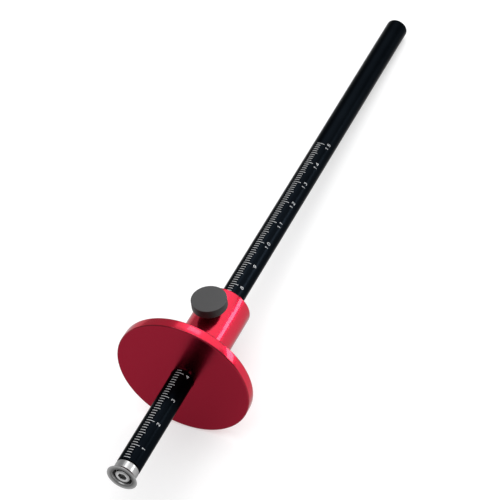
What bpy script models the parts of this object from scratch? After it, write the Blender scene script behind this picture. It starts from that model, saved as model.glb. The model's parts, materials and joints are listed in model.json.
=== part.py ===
"""Wheel marking gauge: a black beam with a scale, a red round fence that slides on it and is
locked by a thumb screw, and a small hardened cutting wheel screwed to the beam's end.

Metres, +Z up. Everything on the beam is modelled along one axis, which is parented to an empty
that lays the gauge down as it lies on a bench: on the rim of the fence and the tail of the beam,
with the thumb screw on top. Heights along the beam are counted from the cutting edge's plane,
which is also the zero of the scale.
"""

from math import atan2, cos, pi, radians, sin, tan, tau

import bmesh
import bpy

# Beam
BEAM_DIAMETER = 0.0075
BEAM_START = 0.00415
BEAM_END = 0.2200
BEAM_TAIL_ROUND = 0.0006
BEAM_FRONT_CHAMFER = 0.0002
SCREW_HOLE_DEPTH = 0.0130

# Clearance between pieces that touch on the real object
SEAT_GAP = 0.0003
BORE_GAP = 0.00025

# Cutting wheel, a cup with its edge at the front
WHEEL_EDGE_DIAMETER = 0.0097
WHEEL_COLLAR_DIAMETER = 0.0074
WHEEL_EDGE_LAND = 0.00012
WHEEL_FLARE_LENGTH = 0.0013
WHEEL_FACE_DISH = 0.00025
WHEEL_CUP_DIAMETER = 0.0067
WHEEL_CUP_FLOOR_DIAMETER = 0.0056
WHEEL_CUP_DEPTH = 0.0020
WHEEL_BACK_CHAMFER = 0.00015

# Screw that holds the wheel, with a hexagon socket
SCREW_DIAMETER = 0.0030
SCREW_HEAD_DIAMETER = 0.0047
SCREW_HEAD_HEIGHT = 0.00145
SCREW_HEAD_ROUND = 0.00035
SCREW_LENGTH = 0.0100
SCREW_POINT_CHAMFER = 0.0004
SOCKET_FLATS = 0.0025
SOCKET_DEPTH = 0.0011

# Fence, one turned piece: a disc and a hub
DISC_DIAMETER = 0.0440
DISC_THICKNESS = 0.0035
DISC_EDGE_ROUND = 0.0006
DISC_FACE_HEIGHT = 0.0410
HUB_DIAMETER = 0.0160
HUB_END_HEIGHT = 0.0734
HUB_END_ROUND = 0.0003
HUB_ROOT_FILLET = 0.0005
BORE_CHAMFER = 0.0002

# Rubber ring in a groove of the bore, which grips the beam
RING_SECTION = 0.0010
RING_GRIP_GAP = 0.00012
GROOVE_SIDE_GAP = 0.0002
GROOVE_FLOOR_GAP = 0.0002
GROOVE_FROM_HUB_END = 0.0030

# Thumb screw: knob, stud and the pad that presses on the beam
LOCK_FROM_HUB_END = 0.0100
STUD_DIAMETER = 0.0040
STUD_POINT_CHAMFER = 0.0003
STUD_IN_KNOB = 0.0026
PAD_LENGTH = 0.0015
PAD_CHAMFER = 0.0002
KNOB_DIAMETER = 0.0112
KNOB_TOP_RADIUS = 0.0130
KNOB_RIM_HEIGHT = 0.0029
KNOB_TOP_CHAMFER = 0.00025
KNOB_UNDERCUT = 0.0004
KNOB_NECK_DIAMETER = 0.0060

# How finely the round pieces are cut
DISC_SIDES = 96
BEAM_SIDES = 64
WHEEL_SIDES = 64
SCREW_SIDES = 40
RING_SIDES = 64
RING_SECTION_SIDES = 10
KNOB_SIDES = 64
STUD_SIDES = 32
SOCKET_SIDES = 6
ROUND_STEPS = 3
FLARE_STEPS = 5
CUP_STEPS = 4
DRILL_POINT_ANGLE = radians(59.0)
SMOOTH_ANGLE = radians(30.0)

# Overrun of every cutter past the face it cuts, and the distance that joins doubled points
CUT_OVERRUN = 0.0010
JOIN_DISTANCE = 0.000001

BEAM_RADIUS = BEAM_DIAMETER / 2
BORE_RADIUS = BEAM_RADIUS + BORE_GAP
SCREW_RADIUS = SCREW_DIAMETER / 2
SCREW_HOLE_RADIUS = SCREW_RADIUS + SEAT_GAP
WHEEL_BACK = BEAM_START - SEAT_GAP
DISC_RADIUS = DISC_DIAMETER / 2
DISC_BACK_HEIGHT = DISC_FACE_HEIGHT + DISC_THICKNESS
HUB_RADIUS = HUB_DIAMETER / 2
LOCK_HEIGHT = HUB_END_HEIGHT - LOCK_FROM_HUB_END
STUD_RADIUS = STUD_DIAMETER / 2
LOCK_HOLE_RADIUS = STUD_RADIUS + SEAT_GAP
PAD_START = BEAM_RADIUS + SEAT_GAP
STUD_START = PAD_START + PAD_LENGTH + SEAT_GAP
KNOB_RIM_START = KNOB_TOP_RADIUS - KNOB_RIM_HEIGHT
KNOB_NECK_START = HUB_RADIUS + SEAT_GAP
STUD_END = KNOB_NECK_START + STUD_IN_KNOB
GROOVE_HALF_WIDTH = RING_SECTION / 2 + GROOVE_SIDE_GAP
RING_CENTRE_RADIUS = BEAM_RADIUS + RING_GRIP_GAP + RING_SECTION / 2
RING_HEIGHT = HUB_END_HEIGHT - GROOVE_FROM_HUB_END
GROOVE_RADIUS = RING_CENTRE_RADIUS + RING_SECTION / 2 + GROOVE_FLOOR_GAP


def clear_scene():
    """Removes every object, so that the part is alone in the file."""
    for old in list(bpy.data.objects):
        bpy.data.objects.remove(old, do_unlink=True)


def finish(name, colour, roughness, metallic):
    """Makes a Principled material with the piece's colour, roughness and metallic value."""
    material = bpy.data.materials.new(name)
    material.use_nodes = True
    shader = material.node_tree.nodes["Principled BSDF"]
    shader.inputs["Base Color"].default_value = (*colour, 1.0)
    shader.inputs["Roughness"].default_value = roughness
    shader.inputs["Metallic"].default_value = metallic
    return material


def arc(centre, radius, start_degrees, end_degrees, steps):
    """Points of an arc in an outline, as (radius from the axis, height along it)."""
    points = []
    for step in range(steps + 1):
        angle = radians(start_degrees + (end_degrees - start_degrees) * step / steps)
        points.append((centre[0] + radius * cos(angle), centre[1] + radius * sin(angle)))
    return points


def turned(name, outline, sides, material, half_facet=False):
    """Turns an outline about local Z. It either starts and ends on the axis or closes on itself."""
    shape = bmesh.new()
    points = [shape.verts.new((radius, 0.0, height)) for radius, height in outline]
    lines = [shape.edges.new(pair) for pair in zip(points, points[1:])]
    if outline[0][0] > 0.0:
        lines.append(shape.edges.new((points[-1], points[0])))
    bmesh.ops.spin(shape, geom=points + lines, cent=(0.0, 0.0, 0.0), axis=(0.0, 0.0, 1.0),
                   angle=tau, steps=sides, use_merge=True)
    bmesh.ops.remove_doubles(shape, verts=shape.verts, dist=JOIN_DISTANCE)
    bmesh.ops.recalc_face_normals(shape, faces=shape.faces)
    mesh = bpy.data.meshes.new(name)
    shape.to_mesh(mesh)
    shape.free()
    mesh.shade_smooth()
    mesh.set_sharp_from_angle(angle=SMOOTH_ANGLE)
    mesh.materials.append(material)
    piece = bpy.data.objects.new(name, mesh)
    if half_facet:
        piece.rotation_euler.z = pi / sides
    bpy.context.collection.objects.link(piece)
    return piece


def prism(name, radius, bottom, top, sides):
    """A straight prism along local Z, closed at both ends, used as a cutter."""
    outline = [(0.0, bottom), (radius, bottom), (radius, top), (0.0, top)]
    return turned(name, outline, sides, finish(name, (0.5, 0.5, 0.5), 0.5, 0.0))


def cut(piece, cutter):
    """Takes the cutter's shape out of the piece, and marks the cutter as no part of the object."""
    cutter.hide_render = True
    cutter.display_type = 'WIRE'
    boolean = piece.modifiers.new("cut_" + cutter.name, 'BOOLEAN')
    boolean.operation = 'DIFFERENCE'
    boolean.solver = 'EXACT'
    boolean.object = cutter


def seat(piece, axis, height=0.0):
    """Parents a piece to an axis, at a height along it."""
    piece.parent = axis
    piece.location.z = height
    return piece


def beam_axis():
    """The empty that carries the gauge. Its Z runs along the beam, from the cutter to the tail.

    The gauge lies on the back edge of the disc and on the beam's tail, so the slope follows from
    their radii. The origin is then under the middle of the gauge, on the surface it lies on.
    """
    disc_contact = DISC_BACK_HEIGHT - DISC_EDGE_ROUND
    tail_contact = BEAM_END - BEAM_TAIL_ROUND
    slope = atan2(DISC_RADIUS - BEAM_RADIUS, tail_contact - disc_contact)
    front = -WHEEL_EDGE_DIAMETER / 2 * sin(slope)
    back = BEAM_END * cos(slope) + (BEAM_RADIUS - BEAM_TAIL_ROUND) * sin(slope)
    axis = bpy.data.objects.new("beam_axis", None)
    axis.rotation_euler.y = pi / 2 + slope
    axis.location.x = -(front + back) / 2
    axis.location.z = tail_contact * sin(slope) + BEAM_RADIUS * cos(slope)
    bpy.context.collection.objects.link(axis)
    return axis


def lock_axis(parent):
    """The empty on the thumb screw's axis. Its Z points out of the hub, square to the beam."""
    axis = bpy.data.objects.new("lock_axis", None)
    axis.parent = parent
    axis.rotation_euler.y = -pi / 2
    axis.location.z = LOCK_HEIGHT
    bpy.context.collection.objects.link(axis)
    return axis


def beam(axis):
    """Round bar with a drilled hole for the cutter's screw and a rounded tail."""
    hole_end = BEAM_START + SCREW_HOLE_DEPTH
    drill_point = hole_end + SCREW_HOLE_RADIUS / tan(DRILL_POINT_ANGLE)
    tail_centre = (BEAM_RADIUS - BEAM_TAIL_ROUND, BEAM_END - BEAM_TAIL_ROUND)
    outline = [
        (0.0, drill_point),
        (SCREW_HOLE_RADIUS, hole_end),
        (SCREW_HOLE_RADIUS, BEAM_START),
        (BEAM_RADIUS - BEAM_FRONT_CHAMFER, BEAM_START),
        (BEAM_RADIUS, BEAM_START + BEAM_FRONT_CHAMFER),
        *arc(tail_centre, BEAM_TAIL_ROUND, 0, 90, ROUND_STEPS),
        (0.0, BEAM_END),
    ]
    material = finish("black_anodised", (0.012, 0.013, 0.015), 0.35, 0.6)
    return seat(turned("beam", outline, BEAM_SIDES, material, half_facet=True), axis)


def cutter_wheel(axis):
    """Cup-shaped wheel: a collar as thick as the beam that flares into the cutting edge."""
    edge = WHEEL_EDGE_DIAMETER / 2
    collar = WHEEL_COLLAR_DIAMETER / 2
    cup = WHEEL_CUP_DIAMETER / 2
    floor = WHEEL_CUP_FLOOR_DIAMETER / 2
    flare = []
    for step in range(FLARE_STEPS + 1):
        share = step / FLARE_STEPS
        height = WHEEL_EDGE_LAND + (WHEEL_FLARE_LENGTH - WHEEL_EDGE_LAND) * share
        flare.append((collar + (edge - collar) * (1 - share) ** 2, height))
    wall = []
    for step in range(CUP_STEPS + 1):
        angle = pi / 2 * step / CUP_STEPS
        wall.append((floor + (cup - floor) * sin(angle),
                     WHEEL_CUP_DEPTH + (WHEEL_FACE_DISH - WHEEL_CUP_DEPTH) * (1 - cos(angle))))
    outline = [
        (SCREW_HOLE_RADIUS, WHEEL_CUP_DEPTH),
        *wall,
        (edge, 0.0),
        *flare,
        (collar, WHEEL_BACK - WHEEL_BACK_CHAMFER),
        (collar - WHEEL_BACK_CHAMFER, WHEEL_BACK),
        (SCREW_HOLE_RADIUS, WHEEL_BACK),
    ]
    material = finish("hardened_steel", (0.42, 0.42, 0.43), 0.28, 1.0)
    return seat(turned("cutter_wheel", outline, WHEEL_SIDES, material), axis)


def cutter_screw(axis):
    """Cap screw that clamps the wheel to the beam, its head inside the cup."""
    head = SCREW_HEAD_DIAMETER / 2
    under_head = WHEEL_CUP_DEPTH - SEAT_GAP
    top = under_head - SCREW_HEAD_HEIGHT
    end = under_head + SCREW_LENGTH
    round_centre = (head - SCREW_HEAD_ROUND, top + SCREW_HEAD_ROUND)
    outline = [
        (0.0, top),
        *arc(round_centre, SCREW_HEAD_ROUND, -90, 0, ROUND_STEPS),
        (head, under_head),
        (SCREW_RADIUS, under_head),
        (SCREW_RADIUS, end - SCREW_POINT_CHAMFER),
        (SCREW_RADIUS - SCREW_POINT_CHAMFER, end),
        (0.0, end),
    ]
    material = finish("screw_steel", (0.50, 0.50, 0.51), 0.32, 1.0)
    screw = seat(turned("cutter_screw", outline, SCREW_SIDES, material), axis)
    corner = SOCKET_FLATS / 2 / cos(pi / SOCKET_SIDES)
    socket = prism("socket_cutter", corner, top - CUT_OVERRUN, top + SOCKET_DEPTH, SOCKET_SIDES)
    cut(screw, seat(socket, axis))
    return screw


def fence(axis, lock):
    """Disc and hub turned in one, bored for the beam, grooved for the ring, tapped for the lock."""
    disc_front = (DISC_RADIUS - DISC_EDGE_ROUND, DISC_FACE_HEIGHT + DISC_EDGE_ROUND)
    disc_back = (DISC_RADIUS - DISC_EDGE_ROUND, DISC_BACK_HEIGHT - DISC_EDGE_ROUND)
    root = (HUB_RADIUS + HUB_ROOT_FILLET, DISC_BACK_HEIGHT + HUB_ROOT_FILLET)
    hub_end = (HUB_RADIUS - HUB_END_ROUND, HUB_END_HEIGHT - HUB_END_ROUND)
    outline = [
        (BORE_RADIUS, DISC_FACE_HEIGHT + BORE_CHAMFER),
        (BORE_RADIUS + BORE_CHAMFER, DISC_FACE_HEIGHT),
        *arc(disc_front, DISC_EDGE_ROUND, -90, 0, ROUND_STEPS),
        *arc(disc_back, DISC_EDGE_ROUND, 0, 90, ROUND_STEPS),
        *arc(root, HUB_ROOT_FILLET, 270, 180, ROUND_STEPS),
        *arc(hub_end, HUB_END_ROUND, 0, 90, ROUND_STEPS),
        (BORE_RADIUS + BORE_CHAMFER, HUB_END_HEIGHT),
        (BORE_RADIUS, HUB_END_HEIGHT - BORE_CHAMFER),
        (BORE_RADIUS, RING_HEIGHT + GROOVE_HALF_WIDTH),
        (GROOVE_RADIUS, RING_HEIGHT + GROOVE_HALF_WIDTH),
        (GROOVE_RADIUS, RING_HEIGHT - GROOVE_HALF_WIDTH),
        (BORE_RADIUS, RING_HEIGHT - GROOVE_HALF_WIDTH),
    ]
    outline = [(radius, height - DISC_FACE_HEIGHT) for radius, height in outline]
    material = finish("red_anodised", (0.55, 0.015, 0.045), 0.25, 0.85)
    body = turned("fence", outline, DISC_SIDES, material, half_facet=True)
    seat(body, axis, DISC_FACE_HEIGHT)
    hole = prism("lock_hole_cutter", LOCK_HOLE_RADIUS, 0.0, HUB_RADIUS + CUT_OVERRUN, STUD_SIDES)
    cut(body, seat(hole, lock))
    return body


def fence_ring(axis):
    """Rubber ring of round section that grips the beam inside the fence."""
    outline = arc((RING_CENTRE_RADIUS, 0.0), RING_SECTION / 2, 0, 360, RING_SECTION_SIDES)[:-1]
    material = finish("black_rubber", (0.02, 0.02, 0.02), 0.7, 0.0)
    return seat(turned("fence_o_ring", outline, RING_SIDES, material), axis, RING_HEIGHT)


def lock_pad(axis):
    """Soft plug under the stud, which presses on the beam without marking it."""
    end = PAD_START + PAD_LENGTH
    outline = [
        (0.0, PAD_START),
        (STUD_RADIUS - PAD_CHAMFER, PAD_START),
        (STUD_RADIUS, PAD_START + PAD_CHAMFER),
        (STUD_RADIUS, end - PAD_CHAMFER),
        (STUD_RADIUS - PAD_CHAMFER, end),
        (0.0, end),
    ]
    material = finish("brass", (0.70, 0.52, 0.22), 0.35, 1.0)
    return seat(turned("lock_pad", outline, STUD_SIDES, material), axis)


def lock_stud(axis):
    """Threaded rod that runs from the pad, through the hub, into the knob."""
    outline = [
        (0.0, STUD_START),
        (STUD_RADIUS - STUD_POINT_CHAMFER, STUD_START),
        (STUD_RADIUS, STUD_START + STUD_POINT_CHAMFER),
        (STUD_RADIUS, STUD_END),
        (0.0, STUD_END),
    ]
    material = finish("stud_steel", (0.45, 0.45, 0.46), 0.35, 1.0)
    return seat(turned("lock_stud", outline, STUD_SIDES, material), axis)


def lock_knob(axis):
    """Plain round knob with a flat top, an undercut and a neck that holds the stud."""
    rim = KNOB_DIAMETER / 2
    neck = KNOB_NECK_DIAMETER / 2
    hole = STUD_RADIUS + SEAT_GAP
    hole_end = STUD_END + SEAT_GAP
    outline = [
        (0.0, hole_end),
        (hole, hole_end),
        (hole, KNOB_NECK_START),
        (neck, KNOB_NECK_START),
        (neck, KNOB_RIM_START - KNOB_UNDERCUT / 2),
        (rim - KNOB_UNDERCUT, KNOB_RIM_START),
        (rim, KNOB_RIM_START + KNOB_UNDERCUT),
        (rim, KNOB_TOP_RADIUS - KNOB_TOP_CHAMFER),
        (rim - KNOB_TOP_CHAMFER, KNOB_TOP_RADIUS),
        (0.0, KNOB_TOP_RADIUS),
    ]
    material = finish("dark_plastic", (0.085, 0.085, 0.088), 0.55, 0.0)
    return seat(turned("lock_knob", outline, KNOB_SIDES, material), axis)


def main():
    clear_scene()
    axis = beam_axis()
    lock = lock_axis(axis)
    beam(axis)
    cutter_wheel(axis)
    cutter_screw(axis)
    fence(axis, lock)
    fence_ring(axis)
    lock_pad(lock)
    lock_stud(lock)
    lock_knob(lock)
    bpy.context.view_layer.update()


main()
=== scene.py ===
"""Wheel marking gauge: the finished look of the packed model, laid out as a Blender add-on.

Each piece is a surface worked out with numpy in the gauge's own axes: up along the thumb screw, side
square to it, and along the beam from the cutting edge, which is the zero of the scale. It is then laid
down as the packed model lies. Lengths are in metres.
"""

import json
from math import pi, radians, tau

import bmesh
import bpy
import numpy as np
from bpy.props import FloatProperty, FloatVectorProperty, IntProperty, PointerProperty
from bpy.types import Operator, Panel, PropertyGroup
from mathutils import Matrix, Vector


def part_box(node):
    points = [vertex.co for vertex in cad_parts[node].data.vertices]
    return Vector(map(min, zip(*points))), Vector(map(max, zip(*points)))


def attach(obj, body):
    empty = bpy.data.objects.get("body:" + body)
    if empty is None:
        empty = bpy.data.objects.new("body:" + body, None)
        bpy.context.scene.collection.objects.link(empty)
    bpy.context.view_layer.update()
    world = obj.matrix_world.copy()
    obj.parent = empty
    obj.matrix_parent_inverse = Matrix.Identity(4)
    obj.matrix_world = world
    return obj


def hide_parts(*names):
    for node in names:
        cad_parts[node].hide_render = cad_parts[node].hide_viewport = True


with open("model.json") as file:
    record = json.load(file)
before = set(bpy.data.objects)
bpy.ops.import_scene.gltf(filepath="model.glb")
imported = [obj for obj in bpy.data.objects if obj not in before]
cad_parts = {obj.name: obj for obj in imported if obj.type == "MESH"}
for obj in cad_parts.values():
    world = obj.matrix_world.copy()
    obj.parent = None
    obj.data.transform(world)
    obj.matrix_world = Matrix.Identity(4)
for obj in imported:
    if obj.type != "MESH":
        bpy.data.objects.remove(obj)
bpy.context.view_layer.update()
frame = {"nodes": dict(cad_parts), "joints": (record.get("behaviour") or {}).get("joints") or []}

bl_info = {
    "name": "Wheel Marking Gauge",
    "version": (1, 0, 0),
    "blender": (4, 5, 0),
    "location": "3D View > Sidebar > Marking Gauge",
    "description": "Builds a wheel marking gauge: scaled beam, disc fence, thumb screw and cutting wheel",
    "category": "Add Mesh",
}

JOINTS = {joint["name"]: joint for joint in frame["joints"]}


def unit(vector):
    """The vector divided by its length."""
    vector = np.asarray(vector, float)
    return vector / np.linalg.norm(vector)


# Points closer than this are one, shorter edges are dropped, and sharper folds are drawn as edges
JOIN_DISTANCE = 5e-8
SLIVER = 1e-9
SHARP_ANGLE = radians(32.0)

# The gauge's own axes in the packed frame
ZERO = np.array(JOINTS["wheel_turn"]["pos_m"], float)
ALONG = unit(JOINTS["wheel_turn"]["axis"])
UP = unit(JOINTS["lock_turn"]["axis"])
SIDE = np.cross(ALONG, UP)
BEAM_AXES = np.array([UP, SIDE, ALONG])
LOCK_AXES = np.array([SIDE, ALONG, UP])
LOCK_HEIGHT = float((np.array(JOINTS["lock_turn"]["pos_m"]) - ZERO) @ ALONG)
LOCK_ZERO = ZERO + LOCK_HEIGHT * ALONG


def node_reach(node, zero=ZERO, axes=BEAM_AXES):
    """(lowest height, highest height, radius) of a CAD node about an axis."""
    mesh = frame["nodes"][node].data
    points = np.empty(len(mesh.vertices) * 3)
    mesh.vertices.foreach_get("co", points)
    local = (points.reshape(-1, 3) - zero) @ axes.T
    radius = np.hypot(local[:, 0], local[:, 1]).max()
    return float(local[:, 2].min()), float(local[:, 2].max()), float(radius)


def half_width(node):
    """Half of a CAD node's box across the gauge, which its round pieces may not pass."""
    low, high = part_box(node)
    return (high.y - low.y) / 2


BEAM_START, BEAM_END, _ = node_reach("beam")
_, WHEEL_END, WHEEL_RADIUS = node_reach("cutter_wheel")
SCREW_START, SCREW_END, SCREW_HEAD_RADIUS = node_reach("cutter_screw")
FENCE_START, FENCE_END, _ = node_reach("fence")
RING_START, RING_END, RING_RADIUS = node_reach("fence_o_ring")
PAD_START, PAD_END, PAD_RADIUS = node_reach("lock_pad", LOCK_ZERO, LOCK_AXES)
STUD_START, STUD_END, STUD_RADIUS = node_reach("lock_stud", LOCK_ZERO, LOCK_AXES)
KNOB_START, KNOB_END, KNOB_RADIUS = node_reach("lock_knob", LOCK_ZERO, LOCK_AXES)


def length(name, description, default):
    """A length property in metres, shown with enough places for small parts."""
    return FloatProperty(name=name, description=description, default=default, min=0.0,
                         unit='LENGTH', subtype='DISTANCE', precision=5)


def colour(name, description, default):
    """A colour property."""
    return FloatVectorProperty(name=name, description=description, default=default, size=3,
                               min=0.0, max=1.0, subtype='COLOR')


class BeamSizes(PropertyGroup):
    """Sizes of the beam and of its scale."""
    radius: length("Radius", "Radius of the round beam", half_width("beam"))
    tail_round: length("Tail Round", "Rounding of the tail's edge", 0.0007)
    front_chamfer: length("Front Chamfer", "Bevel at the end that takes the wheel", 0.0002)
    hole_radius: length("Screw Hole Radius", "Radius of the hole for the wheel's screw", 0.0018)
    hole_depth: length("Screw Hole Depth", "Depth of that hole", 0.0130)
    mark_width: length("Mark Width", "Width of a scale mark", 0.00020)
    mark_proud: length("Mark Thickness", "How far the marks stand proud of the beam", 0.000010)
    number_height: length("Number Height", "Height of the numbers", 0.00116)
    number_width: length("Number Width", "Width of one figure", 0.00104)
    number_advance: length("Number Advance", "Distance from figure to figure", 0.00175)
    number_stroke: length("Number Stroke", "Width of a number's stroke", 0.00020)
    scale_first: IntProperty(name="First Mark", description="First millimetre with a mark", default=5)
    scale_last: IntProperty(name="Last Mark", description="Last millimetre with a mark", default=150)


class FenceSizes(PropertyGroup):
    """Sizes of the disc fence."""
    disc_radius: length("Disc Radius", "Radius of the disc", half_width("fence"))
    disc_thickness: length("Disc Thickness", "Thickness of the disc", 0.0035)
    disc_round: length("Disc Edge Round", "Rounding of the disc's edges", 0.00045)
    hub_radius: length("Hub Radius", "Radius of the hub", 0.0080)
    hub_round: length("Hub End Round", "Rounding of the hub's end", 0.0003)
    root_fillet: length("Root Fillet", "Fillet between hub and disc", 0.0005)
    bore_radius: length("Bore Radius", "Radius of the bore, a close fit on the beam", 0.0038)
    bore_chamfer: length("Bore Chamfer", "Bevel at both ends of the bore", 0.00010)
    groove_radius: length("Groove Radius", "Radius of the rubber ring's groove", 0.00507)
    groove_width: length("Groove Width", "Width of that groove", 0.0014)
    lock_hole_radius: length("Lock Hole Radius", "Radius of the hole for the thumb screw", 0.0023)


class WheelSizes(PropertyGroup):
    """Sizes of the cutting wheel and its screw."""
    collar_radius: length("Collar Radius", "Radius of the collar behind the edge", 0.0037)
    flare_length: length("Flare Length", "Length of the flare from edge to collar", 0.0014)
    edge_land: length("Edge Land", "Width of the flat behind the edge", 0.00010)
    dish: length("Face Dish", "How far the face is hollowed", 0.00008)
    cup_radius: length("Cup Radius", "Radius of the cup at the face", 0.00322)
    cup_floor_radius: length("Cup Floor Radius", "Radius of the cup's floor", 0.0028)
    cup_depth: length("Cup Depth", "Depth of the cup", 0.0020)
    hole_radius: length("Hole Radius", "Radius of the screw's hole", 0.0018)
    screw_radius: length("Screw Radius", "Radius of the screw's shank", 0.0015)
    screw_pitch: length("Screw Pitch", "Distance from thread to thread", 0.0005)
    head_height: length("Head Height", "Height of the screw's head", 0.00145)
    socket_flats: length("Socket Flats", "Width of the socket across its flats", 0.0025)
    socket_depth: length("Socket Depth", "Depth of the socket", 0.0011)


class LockSizes(PropertyGroup):
    """Sizes of the thumb screw, its pad and the rubber ring."""
    knob_rim: length("Knob Rim", "Height of the knob's grip", 0.0030)
    knob_round: length("Knob Edge Round", "Rounding of the knob's edges", 0.00020)
    knob_neck_radius: length("Knob Neck Radius", "Radius of the knob's neck", 0.0030)
    stud_pitch: length("Stud Pitch", "Distance from thread to thread", 0.0007)
    pad_chamfer: length("Pad Chamfer", "Bevel of the pad's ends", 0.0002)


class GaugeColours(PropertyGroup):
    """Colours of the finishes."""
    red: colour("Red", "Red anodised fence", (0.56, 0.012, 0.040))
    # painted shade: the darker red for the disc's face stands for the darker surroundings that the face
    # mirrors
    red_face: colour("Red Face", "Face of the disc, dyed deeper", (0.228, 0.008, 0.022))
    black: colour("Black", "Black anodised beam", (0.0028, 0.0042, 0.0060))
    marks: colour("Marks", "Marks and numbers on the beam", (0.44, 0.45, 0.46))
    steel: colour("Steel", "Hardened steel of the wheel", (0.34, 0.34, 0.34))
    screw: colour("Screw", "Steel of the screws", (0.25, 0.25, 0.25))
    knob: colour("Knob", "Moulded knob", (0.055, 0.055, 0.056))
    rubber: colour("Rubber", "Rubber ring", (0.014, 0.014, 0.015))
    brass: colour("Brass", "Brass pad", (0.62, 0.43, 0.15))


def rounded(corners, steps=5):
    """Profile through corners of (radius, height, fillet), as rows of (radius, height, edge).

    A corner with a fillet becomes an arc that touches both its sides: its centre lies on the line that
    halves the corner's angle, fillet / sin(half angle) away. Edge rises to 1 in the middle of an arc.
    """
    rows = [(*corners[0][:2], 0.0)]
    for before, here, after in zip(corners, corners[1:], corners[2:]):
        corner = np.array(here[:2])
        back, forth = unit(np.array(before[:2]) - corner), unit(np.array(after[:2]) - corner)
        half = np.arccos(np.clip(back @ forth, -1, 1)) / 2
        if here[2] == 0.0 or half > radians(89.0):
            rows.append((*corner, 0.0))
            continue
        centre = corner + unit(back + forth) * here[2] / np.sin(half)
        touch = here[2] / np.tan(half)
        first, last = corner + back * touch - centre, corner + forth * touch - centre
        swing = pi - 2 * half
        share = np.linspace(0, 1, steps + 1)[:, None]
        arc = np.sin((1 - share) * swing) * first + np.sin(share * swing) * last
        arc = centre + arc / np.sin(swing)
        rows.extend((*point, edge) for point, edge in zip(arc, np.sin(share[:, 0] * pi)))
    rows.append((*corners[-1][:2], 0.0))
    return np.array(rows)


def lathe(profile, sides):
    """Turned surface: at turn t, a profile row (r, h) lies at (r cos t, r sin t, h)."""
    turn = np.arange(sides) * tau / sides
    radius, height = profile[:, 0], profile[:, 1]
    return np.stack([np.outer(radius, np.cos(turn)), np.outer(radius, np.sin(turn)),
                     np.repeat(height[:, None], sides, axis=1)], axis=-1)


def grid_faces(rows, columns, wrap_rows=False, wrap_columns=True):
    """Four-cornered faces of a grid whose point (i, j) has the index i x columns + j."""
    i, j = np.meshgrid(np.arange(rows if wrap_rows else rows - 1),
                       np.arange(columns if wrap_columns else columns - 1), indexing="ij")
    down, right = (i + 1) % rows, (j + 1) % columns
    corners = [i * columns + j, i * columns + right, down * columns + right, down * columns + j]
    return np.stack(corners, axis=-1).reshape(-1, 4)


def make_piece(name, patches, material, body, slot, axes=BEAM_AXES, zero=ZERO, stands_for=()):
    """One object from patches of (points, faces, edge values, tones), laid down in the packed frame.

    Doubled points at seams and poles are merged and normals are worked out again. The materials read
    the attributes "edge", how much a point lies on an edge, and "shade_tone", how much painted shade darkens
    the point.
    """
    points, faces, edges, shade_tones, start = [], [], [], [], 0
    for patch_points, patch_faces, patch_edges, patch_shade_tones in patches:
        flat = patch_points.reshape(-1, 3)
        points.append(flat)
        faces.extend((np.asarray(patch_faces) + start).tolist())
        edges.append(np.broadcast_to(patch_edges, flat.shape[0]).astype(float))
        shade_tones.append(np.broadcast_to(patch_shade_tones, flat.shape[0]).astype(float))
        start += len(flat)
    points = np.concatenate(points) @ axes + zero
    mesh = bpy.data.meshes.new(name)
    mesh.from_pydata(points.tolist(), [], faces)
    for label, values in (("edge", edges), ("shade_tone", shade_tones)):
        mesh.attributes.new(label, 'FLOAT', 'POINT').data.foreach_set("value", np.concatenate(values))
    shape = bmesh.new()
    shape.from_mesh(mesh)
    bmesh.ops.remove_doubles(shape, verts=shape.verts, dist=JOIN_DISTANCE)
    bmesh.ops.dissolve_degenerate(shape, edges=shape.edges, dist=SLIVER)
    bmesh.ops.recalc_face_normals(shape, faces=shape.faces)
    shape.to_mesh(mesh)
    shape.free()
    mesh.shade_smooth()
    mesh.set_sharp_from_angle(angle=SHARP_ANGLE)
    mesh.materials.append(material)
    piece = bpy.data.objects.new(name, mesh)
    bpy.context.scene.collection.objects.link(piece)
    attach(piece, body)
    if stands_for:
        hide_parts(*stands_for)


def turned(profile, sides, closed=False, shade_tone=1.0):
    """Patch of a turned piece, with a shade_tone for each row, which darkens a row as painted shade.

    A closed profile joins its last row to its first.
    """
    edges = np.repeat(profile[:, 2], sides)
    shade_tones = np.repeat(np.broadcast_to(shade_tone, len(profile)), sides)
    return lathe(profile, sides), grid_faces(len(profile), sides, closed), edges, shade_tones


# Materials


def new_group(name, inputs, outputs):
    """Empty shader node group with named sockets. Returns the group, its input and its output node."""
    group = bpy.data.node_groups.new(name, 'ShaderNodeTree')
    for label, kind, default in inputs:
        socket = group.interface.new_socket(name=label, in_out='INPUT', socket_type=kind)
        if default is not None:
            socket.default_value = default
    for label, kind in outputs:
        group.interface.new_socket(name=label, in_out='OUTPUT', socket_type=kind)
    return group, group.nodes.new('NodeGroupInput'), group.nodes.new('NodeGroupOutput')


def add(tree, kind, links=(), **settings):
    """Adds a node with its properties. Links holds pairs of an input and a socket or a value."""
    node = tree.nodes.new(kind)
    for key, value in settings.items():
        setattr(node, key, value)
    for key, source in links:
        if hasattr(source, "is_linked"):
            tree.links.new(source, node.inputs[key])
        else:
            node.inputs[key].default_value = source
    return node


def math_node(tree, operation, first, second=0.0, clamp=False):
    """Output of a Math node."""
    return add(tree, 'ShaderNodeMath', [(0, first), (1, second)], operation=operation,
               use_clamp=clamp).outputs[0]


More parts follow.
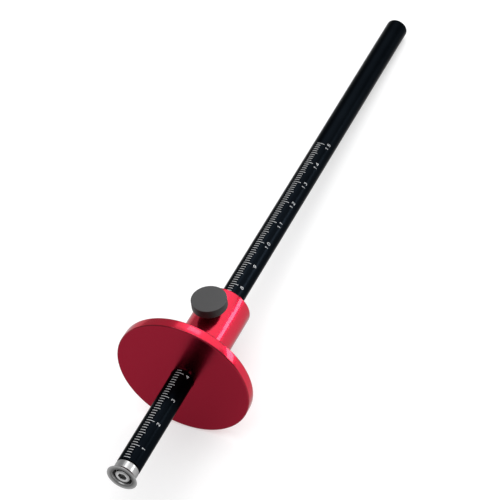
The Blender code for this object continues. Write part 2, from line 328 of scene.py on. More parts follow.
def turning_lines():
    """Group: fine lines that a lathe leaves, as noise over radius and height, the same all the way round.

    Radius is the distance from the piece's axis and height the place along it, so the lines are rings
    on a face and hoops on a cylinder.
    """
    group, inside, out = new_group(
        "Turning Lines",
        [("Vector", 'NodeSocketVector', None), ("Lines per Metre", 'NodeSocketFloat', 9000.0),
         ("Wander", 'NodeSocketFloat', 0.06)],
        [("Lines", 'NodeSocketFloat'), ("Bands", 'NodeSocketFloat')])
    split = add(group, 'ShaderNodeSeparateXYZ', [(0, inside.outputs["Vector"])])
    flat = add(group, 'ShaderNodeCombineXYZ', [(0, split.outputs[0]), (1, split.outputs[1])])
    radius = add(group, 'ShaderNodeVectorMath', [(0, flat.outputs[0])], operation='LENGTH')
    drift = add(group, 'ShaderNodeTexNoise', [("Vector", inside.outputs["Vector"]), ("Scale", 90.0),
                                              ("Detail", 1.0)]).outputs["Fac"]
    drift = math_node(group, 'MULTIPLY', drift, inside.outputs["Wander"])
    place = add(group, 'ShaderNodeCombineXYZ',
                [(0, math_node(group, 'MULTIPLY', radius.outputs["Value"], inside.outputs["Lines per Metre"])),
                 (1, math_node(group, 'MULTIPLY', split.outputs[2], inside.outputs["Lines per Metre"])),
                 (2, drift)])
    fine = add(group, 'ShaderNodeTexNoise', [("Vector", place.outputs[0]), ("Scale", 1.0), ("Detail", 2.0),
                                             ("Roughness", 0.55)])
    wide = add(group, 'ShaderNodeTexNoise', [("Vector", place.outputs[0]), ("Scale", 0.11),
                                             ("Detail", 1.0)])
    group.links.new(fine.outputs["Fac"], out.inputs["Lines"])
    group.links.new(wide.outputs["Fac"], out.inputs["Bands"])
    return group


def handling():
    """Group: soft clouds and fine specks left by hands and use, as two noises of different size."""
    group, inside, out = new_group(
        "Handling",
        [("Vector", 'NodeSocketVector', None), ("Cloud Scale", 'NodeSocketFloat', 120.0),
         ("Speck Scale", 'NodeSocketFloat', 2600.0)],
        [("Clouds", 'NodeSocketFloat'), ("Specks", 'NodeSocketFloat')])
    clouds = add(group, 'ShaderNodeTexNoise', [("Vector", inside.outputs["Vector"]),
                                               ("Scale", inside.outputs["Cloud Scale"]), ("Detail", 4.0)])
    specks = add(group, 'ShaderNodeTexNoise', [("Vector", inside.outputs["Vector"]),
                                               ("Scale", inside.outputs["Speck Scale"]), ("Detail", 2.0)])
    group.links.new(clouds.outputs["Fac"], out.inputs["Clouds"])
    group.links.new(specks.outputs["Fac"], out.inputs["Specks"])
    return group


def worn_colour():
    """Group: a colour times its shade_tone, which darkens it as painted shade; it varies a little in clouds
    and shifts to a second colour on edges, which is wear on some finishes and a painted dark line or highlight
    on others.
    """
    group, inside, out = new_group(
        "Wear and Painted Light Colour",
        [("Colour", 'NodeSocketColor', None), ("Edge Colour", 'NodeSocketColor', None),
         ("Edge", 'NodeSocketFloat', 0.0), ("Clouds", 'NodeSocketFloat', 0.5),
         ("Cloud Strength", 'NodeSocketFloat', 0.15), ("Edge Strength", 'NodeSocketFloat', 0.5),
         ("Shade Tone", 'NodeSocketFloat', 1.0)],
        [("Colour", 'NodeSocketColor')])
    level = math_node(group, 'SUBTRACT', inside.outputs["Clouds"], 0.5)
    level = math_node(group, 'MULTIPLY', level, inside.outputs["Cloud Strength"])
    level = math_node(group, 'MULTIPLY', math_node(group, 'ADD', level, 1.0), inside.outputs["Shade Tone"])
    shaded = add(group, 'ShaderNodeVectorMath', [(0, inside.outputs["Colour"])], operation='SCALE')
    group.links.new(level, shaded.inputs["Scale"])
    share = math_node(group, 'MULTIPLY', inside.outputs["Edge"], inside.outputs["Edge Strength"],
                      clamp=True)
    mixed = add(group, 'ShaderNodeMix', data_type='RGBA')
    group.links.new(share, mixed.inputs["Factor"])
    group.links.new(shaded.outputs[0], mixed.inputs[6])
    group.links.new(inside.outputs["Edge Colour"], mixed.inputs[7])
    group.links.new(mixed.outputs[2], out.inputs["Colour"])
    return group


def spread():
    """Group: a value carried from the range 0 to 1 into the range Low to High."""
    group, inside, out = new_group(
        "Spread",
        [("Value", 'NodeSocketFloat', 0.5), ("Low", 'NodeSocketFloat', 0.0),
         ("High", 'NodeSocketFloat', 1.0)],
        [("Value", 'NodeSocketFloat')])
    gap = math_node(group, 'SUBTRACT', inside.outputs["High"], inside.outputs["Low"])
    part = math_node(group, 'MULTIPLY', inside.outputs["Value"], gap)
    group.links.new(math_node(group, 'ADD', part, inside.outputs["Low"]), out.inputs["Value"])
    return group


def use_group(tree, make, name, links):
    """Places a shared group, made by its function the first time, with the material's own values."""
    group = bpy.data.node_groups.get(name) or make()
    return add(tree, 'ShaderNodeGroup', links, node_tree=group)


def own_axes(tree, axes, zero):
    """Object coordinates turned into the piece's own axes by a Mapping node."""
    where = tree.nodes.new('ShaderNodeTexCoord')
    mapping = tree.nodes.new('ShaderNodeMapping')
    mapping.vector_type = 'TEXTURE'
    mapping.inputs["Location"].default_value = zero
    mapping.inputs["Rotation"].default_value = Matrix(axes.T.tolist()).to_euler('XYZ')
    tree.links.new(where.outputs["Object"], mapping.inputs["Vector"])
    return mapping.outputs[0]


def finish_of(name, base, edge_base, metallic, roughness, lines=9000.0, line_depth=0.0, cloud=0.15,
              edge=0.5, speck_depth=0.0, axes=BEAM_AXES, zero=ZERO, rim_tint=1.0, specular=0.5):
    """Material of one finish: base colour with clouds, painted shade by shade_tone and a second colour on
    edges (wear on some finishes, a painted dark line or highlight on others), roughness and fine relief.

    Roughness goes from the first to the second value with the clouds and the turning lines. Relief is
    a bump of turning lines with the given depth, and of specks for moulded or rubber surfaces. Rim
    tint is how bright a metal gets where it is seen at a flat angle.
    """
    material = bpy.data.materials.new(name)
    material.use_nodes = True
    tree = material.node_tree
    shader = tree.nodes["Principled BSDF"]
    shader.inputs["Metallic"].default_value = metallic
    shader.inputs["Specular IOR Level"].default_value = specular
    shader.inputs["Specular Tint"].default_value = (rim_tint, rim_tint, rim_tint, 1.0)
    vector = own_axes(tree, axes, zero)
    marks = use_group(tree, turning_lines, "Turning Lines",
                      [("Vector", vector), ("Lines per Metre", lines)])
    hands = use_group(tree, handling, "Handling", [("Vector", vector)])
    edge_value = add(tree, 'ShaderNodeAttribute', attribute_name="edge").outputs["Fac"]
    shade_tone_value = add(tree, 'ShaderNodeAttribute', attribute_name="shade_tone").outputs["Fac"]
    worn = use_group(tree, worn_colour, "Wear and Painted Light Colour",
                     [("Colour", (*base, 1.0)), ("Edge Colour", (*edge_base, 1.0)), ("Edge", edge_value),
                      ("Clouds", hands.outputs["Clouds"]), ("Cloud Strength", cloud),
                      ("Edge Strength", edge), ("Shade Tone", shade_tone_value)])
    tree.links.new(worn.outputs[0], shader.inputs["Base Color"])
    mixed = math_node(tree, 'ADD', hands.outputs["Clouds"], marks.outputs["Bands"])
    mixed = math_node(tree, 'MULTIPLY', mixed, 0.5)
    level = use_group(tree, spread, "Spread",
                      [("Value", mixed), ("Low", roughness[0]), ("High", roughness[1])])
    tree.links.new(level.outputs[0], shader.inputs["Roughness"])
    height = math_node(tree, 'MULTIPLY', marks.outputs["Lines"], line_depth)
    grain = math_node(tree, 'MULTIPLY', hands.outputs["Specks"], speck_depth)
    bump = add(tree, 'ShaderNodeBump', [("Strength", 1.0), ("Distance", 1.0),
                                        ("Height", math_node(tree, 'ADD', height, grain))])
    tree.links.new(bump.outputs[0], shader.inputs["Normal"])
    return material


# Scale


def swept_bands(paths, width, low, high):
    """Thin closed bands on the beam, one for each path of (place along, distance round) points.

    Paths has the shape (bands, points, 2). A band's four corners at a point are half the width to
    either side of the path, square to it, at the radii low and high. The distance round the beam,
    divided by the radius, is the angle from the thumb screw towards the side.
    """
    step = np.gradient(paths, axis=1)
    step /= np.linalg.norm(step, axis=-1, keepdims=True)
    across = np.stack([-step[..., 1], step[..., 0]], axis=-1) * width / 2
    sides = np.stack([paths - across, paths + across, paths + across, paths - across], axis=2)
    radius = np.array([low, low, high, high])
    angle = sides[..., 1] / high
    return np.stack([radius * np.cos(angle), radius * np.sin(angle), sides[..., 0]], axis=-1)


def band_patches(bands):
    """Patches of closed bands: four sides as a grid, and a face at each end."""
    count, points = bands.shape[0], bands.shape[1]
    ring = points * 4
    sides = grid_faces(points, 4)
    ends = np.array([[3, 2, 1, 0], [ring - 4, ring - 3, ring - 2, ring - 1]])
    one = np.concatenate([sides, ends])
    faces = (one[None] + (np.arange(count) * ring)[:, None, None]).reshape(-1, 4)
    return [(bands, faces, 0.0, 1.0)]


def arc_of(centre, radii, start, end, count=13):
    """Part of an ellipse: its centre plus (radius x cos a, radius y sin a), for a in degrees."""
    angle = np.radians(np.linspace(start, end, count))
    return np.stack([centre[0] + radii[0] * np.cos(angle), centre[1] + radii[1] * np.sin(angle)], axis=-1)


def line_of(*corners, count=5):
    """Straight strokes through corners, each with evenly spaced points."""
    share = np.linspace(0, 1, count)[:, None]
    return [np.array(a) + (np.array(b) - np.array(a)) * share for a, b in zip(corners, corners[1:])]


def even_steps(path, step):
    """The same path with points at even steps, so that it hugs the round beam between them."""
    run = np.concatenate([[0.0], np.cumsum(np.linalg.norm(np.diff(path, axis=0), axis=1))])
    at = np.linspace(0, run[-1], max(int(np.ceil(run[-1] / step)), 1) + 1)
    return np.stack([np.interp(at, run, path[:, 0]), np.interp(at, run, path[:, 1])], axis=-1)


def number_strokes():
    """Strokes of the figures 0 to 9 in a box 0.66 wide and 1 high, on round and straight strokes."""
    return {
        "0": [arc_of((0.33, 0.5), (0.27, 0.44), 0, 360, 25)],
        "1": line_of((0.14, 0.76), (0.36, 0.96), (0.36, 0.04)),
        "2": [np.concatenate([arc_of((0.33, 0.69), (0.25, 0.25), 160, -32), [[0.09, 0.06]]]),
              *line_of((0.07, 0.06), (0.61, 0.06))],
        "3": [arc_of((0.31, 0.72), (0.22, 0.22), 150, -88), arc_of((0.31, 0.28), (0.27, 0.24), 92, -150)],
        "4": line_of((0.50, 0.04), (0.50, 0.95), (0.05, 0.31), (0.64, 0.31)),
        "5": [*line_of((0.58, 0.94), (0.15, 0.94), (0.11, 0.52)),
              arc_of((0.32, 0.33), (0.27, 0.27), 138, -142)],
        "6": [arc_of((0.34, 0.31), (0.26, 0.26), 0, 360, 23), arc_of((0.60, 0.33), (0.52, 0.62), 178, 98)],
        "7": line_of((0.06, 0.94), (0.61, 0.94), (0.24, 0.04)),
        "8": [arc_of((0.33, 0.73), (0.21, 0.21), 0, 360, 21),
              arc_of((0.33, 0.28), (0.26, 0.24), 0, 360, 23)],
        "9": [arc_of((0.32, 0.69), (0.26, 0.26), 0, 360, 23),
              arc_of((0.06, 0.67), (0.52, 0.62), -2, -82)],
    }


# Angles round the beam, from the thumb screw towards the side that the photograph shows
MARK_LEFT = radians(-19.5)
SHORT_RIGHT = radians(5.5)
MIDDLE_RIGHT = radians(12.5)
LONG_RIGHT = radians(21.0)
NUMBER_CENTRE = radians(43.0)

# Distance between the points of a number's stroke, and width of a figure's box for a height of 1
STROKE_STEP = 0.00012
FIGURE_BOX = 0.66


class GAUGE_OT_beam(Operator):
    """Round beam: a turned surface with a rounded tail and the drilled hole for the wheel's screw"""
    bl_idname = "gauge.beam"
    bl_label = "Beam"

    def execute(self, context):
        sizes, colours = context.scene.gauge_beam, context.scene.gauge_colours
        hole_end = BEAM_START + sizes.hole_depth
        profile = rounded([
            (0.0, hole_end + sizes.hole_radius * 0.6, 0.0),
            (sizes.hole_radius, hole_end, 0.0),
            (sizes.hole_radius, BEAM_START, 0.0),
            (sizes.radius, BEAM_START, sizes.front_chamfer),
            (sizes.radius, BEAM_END, sizes.tail_round),
            (0.0, BEAM_END, 0.0),
        ], steps=7)
        material = finish_of(
            "black_anodised", colours.black, (0.008, 0.0085, 0.010), 1.0, (0.25, 0.34), lines=5200.0,
            line_depth=2.5e-7, cloud=0.5, edge=0.8, rim_tint=0.52)
        make_piece("beam_bar", [turned(profile, 192)], material, "beam", "black_anodised",
                   stands_for=("beam",))
        return {'FINISHED'}


class GAUGE_OT_scale(Operator):
    """Scale: thin closed bands on the beam, a mark at each millimetre and a number at each centimetre"""
    bl_idname = "gauge.scale"
    bl_label = "Scale"

    def execute(self, context):
        sizes, colours = context.scene.gauge_beam, context.scene.gauge_colours
        material = finish_of(
            "scale_marks", colours.marks, colours.marks, 0.0, (0.5, 0.7), cloud=0.5, speck_depth=4e-6)
        low, high = sizes.radius - sizes.mark_proud, sizes.radius + sizes.mark_proud
        millimetres = np.arange(sizes.scale_first, sizes.scale_last + 1)
        right = np.where(millimetres % 10 == 0, LONG_RIGHT,
                         np.where(millimetres % 5 == 0, MIDDLE_RIGHT, SHORT_RIGHT))
        share = np.linspace(0, 1, 9)
        round_beam = (MARK_LEFT + (right - MARK_LEFT)[:, None] * share) * high
        along = np.repeat(millimetres[:, None] * 0.001, len(share), axis=1)
        bands = swept_bands(np.stack([along, round_beam], axis=-1), sizes.mark_width, low, high)
        make_piece("scale_marks", band_patches(bands), material, "beam", "black_anodised")

        strokes = number_strokes()
        patches = []
        for centimetre in range(1, sizes.scale_last // 10 + 1):
            figures = str(centimetre)
            for place, figure in enumerate(figures):
                middle = centimetre * 0.01 + (place - (len(figures) - 1) / 2) * sizes.number_advance
                for stroke in strokes[figure]:
                    at = middle + (stroke[:, 0] / FIGURE_BOX - 0.5) * sizes.number_width
                    around = NUMBER_CENTRE * high - (stroke[:, 1] - 0.5) * sizes.number_height
                    path = even_steps(np.stack([at, around], axis=-1), STROKE_STEP)[None]
                    patches += band_patches(swept_bands(path, sizes.number_stroke, low, high))
        make_piece("scale_numbers", patches, material, "beam", "black_anodised")
        return {'FINISHED'}


# Rows of points for each turn of a thread
THREAD_ROWS = 10


def threaded_grid(radius, pitch, start, end, sides, depth):
    """Thread as a grid: at turn t and height h the radius is the outer one less depth times a wave.

    The wave is the distance of (h / pitch - t / full turn) from the nearest whole number, doubled and
    squeezed at top and bottom, so that crests and roots are flat. It fades out over the last half pitch.
    """
    rows = int(round((end - start) / pitch * THREAD_ROWS)) + 1
    height = np.linspace(start, end, rows)[:, None]
    turn = (np.arange(sides) * tau / sides)[None]
    phase = height / pitch - turn / tau
    wave = np.abs(phase - np.round(phase)) * 2
    wave = np.clip((wave - 0.12) / 0.76, 0, 1)
    fade = np.clip(np.minimum(height - start, end - height) / (pitch / 2), 0, 1)
    r = radius - depth * (wave * fade + (1 - fade) * 0.9)
    return np.stack([r * np.cos(turn), r * np.sin(turn), np.broadcast_to(height, r.shape)], axis=-1)


class GAUGE_OT_wheel(Operator):
    """Cutting wheel: a turned cup whose collar flares, on a curve, into the round edge"""
    bl_idname = "gauge.wheel"
    bl_label = "Cutting Wheel"

    def execute(self, context):
        sizes, colours = context.scene.gauge_wheel, context.scene.gauge_colours
        steps = 5
        share = np.linspace(0, 1, 13)
        flare_radius = sizes.collar_radius + (WHEEL_RADIUS - sizes.collar_radius) * (1 - share) ** 1.7
        flare_height = sizes.edge_land + (sizes.flare_length - sizes.edge_land) * share
        flare = [(r, h, 0.0) for r, h in zip(flare_radius, flare_height)]
        profile = rounded([
            (sizes.hole_radius, sizes.cup_depth, 0.0),
            (sizes.cup_floor_radius, sizes.cup_depth, 0.00030),
            (sizes.cup_radius - 0.00022, sizes.dish + 0.00070, 0.00090),
            (sizes.cup_radius, sizes.dish, 0.00018),
            (WHEEL_RADIUS - 0.00002, 0.0, 0.0),
            *flare,
            (sizes.collar_radius, WHEEL_END, 0.00018),
            (sizes.hole_radius, WHEEL_END, 0.0),
        ], steps=steps)
        material = finish_of(
            "hardened_steel", colours.steel, (0.50, 0.50, 0.50), 1.0, (0.22, 0.36), lines=11000.0,
            line_depth=1.6e-6, cloud=0.45, edge=0.5, rim_tint=0.5)
        # painted shade: the face is darkened to stand for the darker surroundings that it mirrors; it is the
        # rows before the edge that lie above the cup's lip; after them come the edge, the flare, the collar's
        # rounded end and the back
        after_face = 1 + len(flare) + (steps + 1) + 1
        face = ((np.arange(len(profile)) < len(profile) - after_face)
                & (profile[:, 1] <= sizes.dish + 0.00010))
        shade_tone = np.where(face, 0.20, 1.0)
        make_piece("cutting_wheel", [turned(profile, 160, closed=True, shade_tone=shade_tone)], material, "wheel",
                   "hardened_steel", stands_for=("cutter_wheel",))
        return {'FINISHED'}


class GAUGE_OT_wheel_screw(Operator):
    """Wheel's screw: rings that go from a hexagon to a circle for the head, and a threaded shank"""
    bl_idname = "gauge.wheel_screw"
    bl_label = "Wheel's Screw"

    def execute(self, context):
        sizes, colours = context.scene.gauge_wheel, context.scene.gauge_colours
        sides = 96
        turn = np.arange(sides) * tau / sides
        flats = sizes.socket_flats / 2
        hexagon = flats / np.cos((turn + pi / 6) % (pi / 3) - pi / 6)
        head, top = SCREW_HEAD_RADIUS, SCREW_START
        under = top + sizes.head_height
        floor = top + sizes.socket_depth
        round_of = 0.00034
        # rows of the socket: a share of the hexagon, and a height
        rows = [(0.0, floor + 0.00035), (0.82, floor), (0.985, floor), (1.0, floor - 0.0001),
                (1.0, top + 0.00016), (1.035, top + 0.00006)]
        radius = np.array([share * hexagon for share, _ in rows])
        height = np.array([level for _, level in rows])
        chamfer = flats * 1.235
        bend = np.linspace(0, pi / 2, 7)
        circle_radius = np.concatenate([[chamfer, chamfer + 0.00012], head - round_of * (1 - np.sin(bend)),
                                        [head, head - 0.00006, sizes.screw_radius + 0.0001]])
        circle_height = np.concatenate([[top + 0.00003, top], top + round_of * (1 - np.cos(bend)),
                                        [under - 0.00006, under, under]])
        radius = np.concatenate([radius, np.repeat(circle_radius[:, None], sides, axis=1)])
        height = np.concatenate([height, circle_height])
        head_grid = np.stack([radius * np.cos(turn), radius * np.sin(turn),
                              np.repeat(height[:, None], sides, axis=1)], axis=-1)
        thread = threaded_grid(sizes.screw_radius, sizes.screw_pitch, under, SCREW_END - 0.0003, sides,
                               0.00027)
        tip = np.array([(sizes.screw_radius - 0.00045, SCREW_END, 0.0), (0.0, SCREW_END, 0.0)])
        grid = np.concatenate([head_grid, thread[1:], lathe(tip, sides)])
        # the socket's bevel and the head's round are worn edges
        edge = np.zeros(grid.shape[:2])
        edge[4:8], edge[10:14] = 1.0, 0.6
        material = finish_of(
            "screw_steel", colours.screw, (0.62, 0.62, 0.62), 1.0, (0.20, 0.36), lines=9000.0,
            line_depth=9e-7, cloud=0.5, edge=0.5)
        make_piece("wheel_screw", [(grid, grid_faces(len(grid), sides), edge.ravel(), 1.0)], material,
                   "wheel_screw", "screw_steel", stands_for=("cutter_screw",))
        return {'FINISHED'}


def holed_patch(radius, hole, half_angle, low, high, columns, rows, middle):
    """Window of a cylinder with a round hole bored square through it.

    The window's outline, in (angle, height), is joined by rings to the hole's outline. A point of that
    outline at the turn p of the hole lies hole x sin p sideways and hole x cos p along, so its angle on
    the cylinder is the arc sine of hole x sin p / radius.
    """
    angle = np.linspace(-half_angle, half_angle, columns + 1)
    height = np.linspace(low, high, rows + 1)
    outline = np.concatenate([
        np.stack([angle[:-1], np.full(columns, low)], axis=-1),
        np.stack([np.full(rows, half_angle), height[:-1]], axis=-1),
        np.stack([angle[:0:-1], np.full(columns, high)], axis=-1),
        np.stack([np.full(rows, -half_angle), height[:0:-1]], axis=-1)])
    bearing = np.arctan2(outline[:, 0] / half_angle, (outline[:, 1] - middle) / ((high - low) / 2))
    rim = np.stack([np.arcsin(hole * np.sin(bearing) / radius), middle + hole * np.cos(bearing)], axis=-1)
    share = (np.linspace(0, 1, 9) ** 1.4)[:, None, None]
    place = rim * (1 - share) + outline * share
    return np.stack([radius * np.cos(place[..., 0]), radius * np.sin(place[..., 0]), place[..., 1]], axis=-1)


# The hub's and the bore's rows this near to the thumb screw make way for its hole, and the darker red
# painted on the disc's face as shade goes this far in from its front
WINDOW_REACH = 0.0038
FACE_DEPTH = 0.00004


class GAUGE_OT_fence(Operator):
    """Fence: disc and hub turned in one, with a grooved bore and a cross hole for the thumb screw"""
    bl_idname = "gauge.fence"
    bl_label = "Disc Fence"

    def execute(self, context):
        sizes, colours = context.scene.gauge_fence, context.scene.gauge_colours
        sides, window_columns, window_rows = 192, 56, 24
        window_low, window_high = LOCK_HEIGHT - WINDOW_REACH, LOCK_HEIGHT + WINDOW_REACH
        back = FENCE_START + sizes.disc_thickness
        ring = (RING_START + RING_END) / 2
        groove_low, groove_high = ring - sizes.groove_width / 2, ring + sizes.groove_width / 2
        bore, chamfer = sizes.bore_radius, sizes.bore_chamfer
        window = np.linspace(window_low, window_high, window_rows + 1)
        outer_rows = [(sizes.hub_radius, h, 0.0) for h in window]
        bore_rows = [(bore, h, 0.0) for h in window[::-1]]
        profile = rounded([
            (bore, FENCE_START + chamfer, 0.0),
            (bore + chamfer, FENCE_START, 0.0),
            (sizes.disc_radius - 0.0015, FENCE_START, 0.0),
            (sizes.disc_radius, FENCE_START, sizes.disc_round),
            (sizes.disc_radius, back, sizes.disc_round),
            (sizes.hub_radius, back, sizes.root_fillet),
            *outer_rows,
            (sizes.hub_radius, FENCE_END, sizes.hub_round),
            (bore + chamfer, FENCE_END, 0.0),
            (bore, FENCE_END - chamfer, 0.0),
            (bore, groove_high, 0.0),
            (sizes.groove_radius, groove_high, 0.0),
            (sizes.groove_radius, groove_low, 0.0),
            (bore, groove_low, 0.0),
            *bore_rows,
            (bore, FENCE_START + 2 * chamfer, 0.0),
        ], steps=6)
        # the fillet at the hub's foot turns outward, so it gets none of the painted dark edge line
        profile[(profile[:, 1] > back - 1e-6) & (profile[:, 0] < sizes.hub_radius + 0.001)
                & (profile[:, 1] < back + 0.001), 2] = 0.0
        points = lathe(profile, sides)
        faces = grid_faces(len(profile), sides, wrap_rows=True).reshape(len(profile), sides, 4)
        column = (np.arange(sides) + window_columns // 2) % sides
        keep = np.ones((len(profile), sides), bool)
        for radius in (sizes.hub_radius, bore):
            inside = np.flatnonzero((np.abs(profile[:, 0] - radius) < SLIVER)
                                    & (profile[:, 1] > window_low - SLIVER)
                                    & (profile[:, 1] < window_high + SLIVER))
            rows = inside[:-1]
            keep[rows[:, None], np.flatnonzero(column < window_columns)[None]] = False
        half = window_columns / sides * pi
        edge = np.repeat(profile[:, 2], sides)
        patches = [(points, faces[keep], edge, 1.0)]
        outlines = []
        for radius in (sizes.hub_radius, bore):
            patch = holed_patch(radius, sizes.lock_hole_radius, half, window_low, window_high,
                                window_columns, window_rows, LOCK_HEIGHT)
            patches.append((patch, grid_faces(*patch.shape[:2]), 0.0, 1.0))
            outlines.append(patch[0])
        share = np.linspace(0, 1, 5)[:, None, None]
        wall = outlines[0] * (1 - share) + outlines[1] * share
        patches.append((wall, grid_faces(*wall.shape[:2]), 0.0, 1.0))
        # painted shade: the fence's edges shift to a dark red, a painted dark line where the rounded edges
        # mirror something dark
        material = finish_of(
            "red_anodised", colours.red, (0.10, 0.002, 0.008), 1.0, (0.19, 0.28), lines=7000.0,
            line_depth=8e-7, cloud=0.14, edge=0.8, rim_tint=0.5)
        self.deepen_face(material, colours.red_face)
        make_piece("disc_fence", patches, material, "fence", "red_anodised", stands_for=("fence",))
        return {'FINISHED'}

    def deepen_face(self, material, face_shade_colour):
        """Mixes in the darker red as painted shade, with less gloss, where the height is at the disc's front
        face.
        """
        tree = material.node_tree
        shader = tree.nodes["Principled BSDF"]
        split = add(tree, 'ShaderNodeSeparateXYZ', [(0, tree.nodes["Mapping"].outputs[0])])
        rise = math_node(tree, 'SUBTRACT', split.outputs[2], FENCE_START + FACE_DEPTH)
        front = math_node(tree, 'LESS_THAN', rise, 0.0)
        source = shader.inputs["Base Color"].links[0].from_socket
        mixed = add(tree, 'ShaderNodeMix', data_type='RGBA')
        tree.links.new(front, mixed.inputs["Factor"])
        tree.links.new(source, mixed.inputs[6])
        mixed.inputs[7].default_value = (*face_shade_colour, 1.0)
        tree.links.new(mixed.outputs[2], shader.inputs["Base Color"])
        gloss = use_group(tree, spread, "Spread", [("Value", front), ("Low", 0.32), ("High", 0.05)])
        tree.links.new(gloss.outputs[0], shader.inputs["Coat Weight"])


class GAUGE_OT_ring(Operator):
    """Rubber ring: a circle of the section's radius carried round the beam"""
    bl_idname = "gauge.ring"
    bl_label = "Rubber Ring"

    def execute(self, context):
        colours = context.scene.gauge_colours
        section = (RING_END - RING_START) / 2
        angle = np.arange(24) * tau / 24
        profile = np.stack([RING_RADIUS - section + section * np.cos(angle),
                            (RING_START + RING_END) / 2 + section * np.sin(angle), 0 * angle], axis=-1)
        material = finish_of(
            "black_rubber", colours.rubber, colours.rubber, 0.0, (0.6, 0.85), cloud=0.4, speck_depth=6e-6)
        make_piece("rubber_ring", [turned(profile, 128, closed=True)], material, "ring", "black_rubber",
                   stands_for=("fence_o_ring",))
        return {'FINISHED'}


class GAUGE_OT_thumb_screw(Operator):
    """Thumb screw: turned knob with a necked foot, threaded stud, and the pad under it"""
    bl_idname = "gauge.thumb_screw"
    bl_label = "Thumb Screw and Pad"

    def execute(self, context):
        sizes, colours = context.scene.gauge_lock, context.scene.gauge_colours
        lock = {"axes": LOCK_AXES, "zero": LOCK_ZERO}
        rim_start = KNOB_END - sizes.knob_rim
        hole, hole_end = STUD_RADIUS + 0.0003, STUD_END + 0.0003
        profile = rounded([
            (0.0, hole_end, 0.0),
            (hole, hole_end, 0.0),
            (hole, KNOB_START, 0.0),
            (sizes.knob_neck_radius, KNOB_START, 0.0002),
            (sizes.knob_neck_radius, rim_start, 0.0004),
            (KNOB_RADIUS, rim_start, sizes.knob_round),
            (KNOB_RADIUS, KNOB_END, sizes.knob_round),
            (0.0, KNOB_END, 0.0),
        ], steps=6)
        # painted highlight: the knob's rounded edges shift to a paler grey, a painted thin light line along
        # them
        material = finish_of(
            "dark_plastic", colours.knob, (0.10, 0.10, 0.105), 0.0, (0.50, 0.62), lines=6000.0,
            line_depth=8e-7, cloud=0.25, edge=0.35, speck_depth=4e-6, specular=0.3, **lock)
        # painted shade: the grip's side gets a low shade_tone, so it reads darker than the lit top
        top = profile[:, 1] > KNOB_END - 0.00003
        grip = (profile[:, 0] > KNOB_RADIUS - 0.0001) & ~top
        make_piece("knob", [turned(profile, 160, shade_tone=np.where(grip, 0.22, 1.0))], material, "thumb_screw",
                   "dark_plastic", stands_for=("lock_knob",), **lock)

        steel = finish_of(
            "stud_steel", colours.screw, (0.62, 0.62, 0.62), 1.0, (0.22, 0.4), lines=9000.0,
            line_depth=9e-7, cloud=0.5, edge=0.5, **lock)
        sides = 64
        thread = threaded_grid(STUD_RADIUS, sizes.stud_pitch, STUD_START + 0.0003, STUD_END, sides, 0.00038)
        foot = lathe(np.array([(0.0, STUD_START, 0.0), (STUD_RADIUS - 0.0006, STUD_START, 0.0)]), sides)
        cap = lathe(np.array([(0.0, STUD_END, 0.0)]), sides)
        grid = np.concatenate([foot, thread, cap])
        make_piece("stud", [(grid, grid_faces(len(grid), sides), 0.0, 1.0)], steel, "thumb_screw",
                   "screw_steel", stands_for=("lock_stud",), **lock)

        brass = finish_of(
            "brass", colours.brass, (0.8, 0.62, 0.3), 1.0, (0.2, 0.4), lines=9000.0, line_depth=1.5e-6,
            cloud=0.5, edge=0.5, **lock)
        profile = rounded([
            (0.0, PAD_START, 0.0),
            (PAD_RADIUS, PAD_START, sizes.pad_chamfer),
            (PAD_RADIUS, PAD_END, sizes.pad_chamfer),
            (0.0, PAD_END, 0.0),
        ], steps=4)
        make_piece("pad", [turned(profile, 96)], brass, "pad", "brass", stands_for=("lock_pad",), **lock)
        return {'FINISHED'}


# The point that the lights face, and the camera that was fitted to the photograph's scale marks
LIGHT_AIM = (-0.05, 0.0, 0.02)
CAMERA_PLACE = (-0.38918, -0.23500, 0.52291)
CAMERA_AHEAD = (0.55973, 0.35280, -0.74982)
CAMERA_ABOVE = (0.72871, 0.22129, 0.64809)
CAMERA_LENS, CAMERA_SENSOR = 152.377, 36.0
FLOOR_REACH, FLOOR_LEVEL = 3.0, -0.00002


def soft_light(name, direction, distance, size, radiance):
    """Rectangular area light at (azimuth, elevation) from the aim point, facing it."""
    azimuth, elevation = (radians(value) for value in direction)
    away = Vector((np.cos(azimuth) * np.cos(elevation), np.sin(azimuth) * np.cos(elevation),
                   np.sin(elevation)))
    light = bpy.data.lights.new(name, 'AREA')
    light.shape = 'RECTANGLE'
    light.size, light.size_y = size
    light.energy = radiance * pi * size[0] * size[1]
    lamp = bpy.data.objects.new(name, light)
    lamp.location = Vector(LIGHT_AIM) + away * distance
    lamp.rotation_euler = (-away).to_track_quat('-Z', 'Y').to_euler()
    bpy.context.scene.collection.objects.link(lamp)


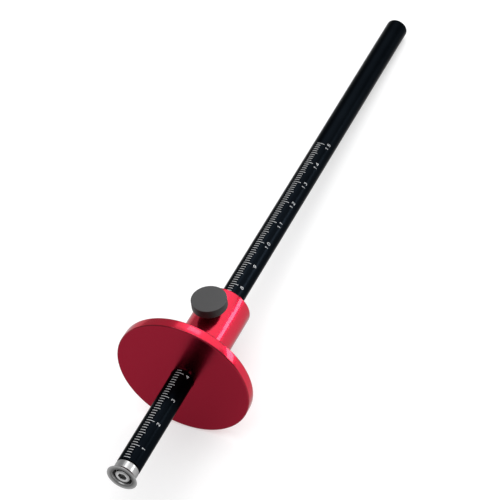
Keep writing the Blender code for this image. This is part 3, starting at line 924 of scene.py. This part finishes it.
class GAUGE_OT_stage(Operator):
    """Stage: pale floor, soft studio lights and the camera at the photograph's angle"""
    bl_idname = "gauge.stage"
    bl_label = "Stage, Lights and Camera"

    def execute(self, context):
        scene = context.scene
        across = np.linspace(-FLOOR_REACH, FLOOR_REACH, 9)
        x, y = np.meshgrid(across, across, indexing="ij")
        points = np.stack([x, y, np.full_like(x, FLOOR_LEVEL)], axis=-1)
        faces = grid_faces(9, 9, wrap_columns=False)[:, ::-1]
        mesh = bpy.data.meshes.new("floor")
        mesh.from_pydata(points.reshape(-1, 3).tolist(), [], faces.tolist())
        material = bpy.data.materials.new("floor")
        material.use_nodes = True
        shader = material.node_tree.nodes["Principled BSDF"]
        shader.inputs["Base Color"].default_value = (0.58, 0.58, 0.58, 1.0)
        shader.inputs["Emission Color"].default_value = (1.0, 1.0, 1.0, 1.0)
        shader.inputs["Emission Strength"].default_value = 0.45
        shader.inputs["Roughness"].default_value = 0.9
        shader.inputs["Specular IOR Level"].default_value = 0.1
        mesh.materials.append(material)
        floor = bpy.data.objects.new("floor", mesh)
        scene.collection.objects.link(floor)

        world = bpy.data.worlds.new("studio")
        world.use_nodes = True
        world.node_tree.nodes["Background"].inputs["Color"].default_value = (0.98, 0.99, 1.0, 1.0)
        world.node_tree.nodes["Background"].inputs["Strength"].default_value = 0.55
        scene.world = world

        soft_light("top", (200.0, 84.0), 1.2, (1.1, 1.1), 2.2)
        soft_light("back", (-15.0, 41.0), 0.8, (1.00, 0.50), 1.25)
        soft_light("strip", (-50.0, 11.0), 0.8, (0.27, 0.16), 8.5)
        soft_light("window", (-4.0, 48.0), 0.8, (0.24, 0.12), 5.0)

        camera = bpy.data.cameras.new("camera")
        camera.lens, camera.sensor_width = CAMERA_LENS, CAMERA_SENSOR
        camera.clip_start, camera.clip_end = 0.01, 20.0
        view = bpy.data.objects.new("camera", camera)
        ahead = unit(CAMERA_AHEAD)
        right = unit(np.cross(ahead, CAMERA_ABOVE))
        above = np.cross(right, ahead)
        turn = Matrix(np.array([right, above, -ahead]).T.tolist()).to_4x4()
        view.matrix_world = Matrix.Translation(CAMERA_PLACE) @ turn
        scene.collection.objects.link(view)
        scene.camera = view
        scene.view_settings.view_transform = 'Standard'
        return {'FINISHED'}


PIECES = (GAUGE_OT_beam, GAUGE_OT_scale, GAUGE_OT_wheel, GAUGE_OT_wheel_screw, GAUGE_OT_fence,
          GAUGE_OT_ring, GAUGE_OT_thumb_screw, GAUGE_OT_stage)


class GAUGE_PT_panel(Panel):
    """Lists the pieces of the gauge, with the sizes and colours that can be changed"""
    bl_idname = "GAUGE_PT_panel"
    bl_label = "Marking Gauge"
    bl_space_type = 'VIEW_3D'
    bl_region_type = 'UI'
    bl_category = "Marking Gauge"

    def draw(self, context):
        for piece in PIECES:
            self.layout.operator(piece.bl_idname)
        for name in SETTINGS:
            box = self.layout.box()
            box.label(text=SETTINGS[name].__doc__)
            settings = getattr(context.scene, name)
            for key in settings.__annotations__:
                box.prop(settings, key)


SETTINGS = {"gauge_beam": BeamSizes, "gauge_fence": FenceSizes, "gauge_wheel": WheelSizes,
            "gauge_lock": LockSizes, "gauge_colours": GaugeColours}
CLASSES = (*SETTINGS.values(), *PIECES, GAUGE_PT_panel)


def register():
    for item in CLASSES:
        bpy.utils.register_class(item)
    for name, group in SETTINGS.items():
        setattr(bpy.types.Scene, name, PointerProperty(type=group))


def unregister():
    for name in SETTINGS:
        delattr(bpy.types.Scene, name)
    for item in reversed(CLASSES):
        bpy.utils.unregister_class(item)


def main():
    """Registers the classes and builds every piece in order."""
    register()
    for name in ("beam", "scale", "wheel", "wheel_screw", "fence", "ring", "thumb_screw", "stage"):
        getattr(bpy.ops.gauge, name)()
    bpy.context.view_layer.update()


if __name__ == "__main__":
    main()
